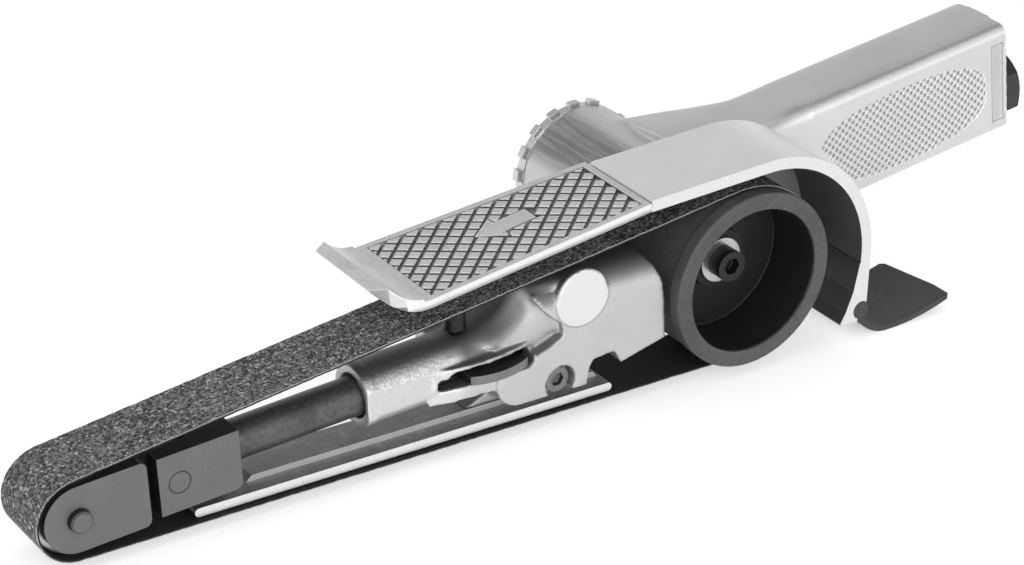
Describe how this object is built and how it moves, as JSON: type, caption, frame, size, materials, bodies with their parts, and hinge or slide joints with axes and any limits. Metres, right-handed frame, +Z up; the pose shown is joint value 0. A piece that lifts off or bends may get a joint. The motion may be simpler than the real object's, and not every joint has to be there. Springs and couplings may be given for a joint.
{
  "type": "pneumatic belt sander",
  "caption": "Pneumatic belt sander: a narrow belt runs from a driven wheel over a nose roller on a sprung rod; cross motor, square grip, guard, patterned plate and rubber flap.",
  "frame": {"origin": "middle of the bounding box at its lowest level, which is the rubber flap", "axes": "+X from the nose roller to the grip and air inlet, +Y from the belt side to the motor side, +Z up"},
  "size_m": [0.3422, 0.0874, 0.0697],
  "materials": {
    "cast_aluminium": "satin",
    "satin_steel": "satin",
    "pressed_aluminium": "satin",
    "sintered_bronze": "matt",
    "machined_steel": "satin",
    "cast_iron": "matt",
    "vane_resin": "matt",
    "bearing_steel": "polished",
    "black_aluminium": "satin",
    "wheel_rubber": "matt",
    "zinc_steel": "polished",
    "black_steel": "satin",
    "flap_rubber": "satin",
    "rod_steel": "satin",
    "spring_steel": "polished",
    "grey_steel": "matt",
    "abrasive_cloth": "gritty",
    "lever_aluminium": "satin",
    "brass": "satin",
    "valve_rubber": "matt"
  },
  "bodies": {
    "tool": {"motor_housing": "cast_aluminium", "motor_cap": "satin_steel", "silencer_disc": "sintered_bronze", "rear_plate": "machined_steel", "front_plate": "machined_steel", "cylinder_liner": "cast_iron", "front_bearing": "bearing_steel", "rear_bearing": "bearing_steel", "guard": "satin_steel", "guard_screws": "black_steel", "top_plate": "pressed_aluminium", "plate_screws": "zinc_steel", "rubber_flap": "flap_rubber", "arm_frame": "cast_aluminium", "arm_screws": "black_steel", "platen": "satin_steel", "platen_screws": "zinc_steel", "lever_pivot": "black_steel", "tension_spring": "spring_steel", "abrasive_belt": "abrasive_cloth", "throttle_pin": "zinc_steel", "valve_bushing": "brass", "valve_spring": "spring_steel", "inlet_bushing": "black_steel"},
    "drive": {"rotor": "machined_steel", "rotor_vanes": "vane_resin", "drive_wheel": "black_aluminium", "wheel_tyre": "wheel_rubber", "wheel_washer": "zinc_steel", "wheel_bolt": "black_steel"},
    "carriage": {"spring_washer": "zinc_steel"},
    "rod_arm": {"tension_rod": "rod_steel", "rod_block": "grey_steel", "block_pin": "grey_steel", "fork_tongue": "black_steel", "fork_plates": "grey_steel", "roller_axle": "grey_steel", "tracking_crank": "machined_steel"},
    "roller": {"nose_roller": "machined_steel", "roller_bearings": "bearing_steel"},
    "tracker": {"tracking_screw": "zinc_steel"},
    "belt_release": {"release_lever": "machined_steel"},
    "throttle": {"throttle_lever": "lever_aluminium"},
    "valve": {"push_pin": "brass", "valve_head": "valve_rubber"}
  },
  "joints": [
    {"name": "wheel_spin", "type": "hinge", "parent": "tool", "child": "drive", "pos_m": [0.04237, -0.02865, 0.0294], "axis": [0, 1, 0], "continuous": true},
    {"name": "nose_slide", "type": "slide", "parent": "tool", "child": "carriage", "axis": [0.9974, 0, 0.0717], "range_m": [0, 0.003], "stiffness_N_per_m": 2000, "springref_m": -0.004, "deforming": ["tension_spring"]},
    {"name": "tracking_roll", "type": "hinge", "parent": "carriage", "child": "rod_arm", "pos_m": [-0.15941, -0.02865, 0.0149], "axis": [0.9974, 0, 0.0717], "range_deg": [-0.9, 0.9]},
    {"name": "roller_spin", "type": "hinge", "parent": "rod_arm", "child": "roller", "pos_m": [-0.15941, -0.02865, 0.0149], "axis": [0, 1, 0], "continuous": true},
    {"name": "tracking_screw_turn", "type": "hinge", "parent": "tool", "child": "tracker", "pos_m": [-0.01883, -0.03765, 0.0138], "axis": [0, 1, 0], "range_deg": [-92, 92]},
    {"name": "release_lever_swing", "type": "hinge", "parent": "tool", "child": "belt_release", "pos_m": [-0.04472, -0.02865, 0.02264], "axis": [0.0717, 0, -0.9974], "range_deg": [0, 45]},
    {"name": "throttle_swing", "type": "hinge", "parent": "tool", "child": "throttle", "pos_m": [0.0919, 0.00135, 0.02856], "axis": [0, -1, 0], "range_deg": [0, 7.1], "stiffness_Nm_per_rad": 0.5, "springref_deg": -5.73},
    {"name": "valve_slide", "type": "slide", "parent": "tool", "child": "valve", "axis": [-0.1461, 0, 0.9893], "range_m": [0, 0.0027], "deforming": ["valve_spring"]}
  ],
  "couplings": [
    {"joint": "roller_spin", "follows": "wheel_spin", "ratio": 2.279},
    {"joint": "tracking_screw_turn", "follows": "tracking_roll", "ratio": 101.4},
    {"joint": "release_lever_swing", "follows": "nose_slide", "rad_per_m": 261.8},
    {"joint": "throttle_swing", "follows": "valve_slide", "rad_per_m": 45.45}
  ]
}
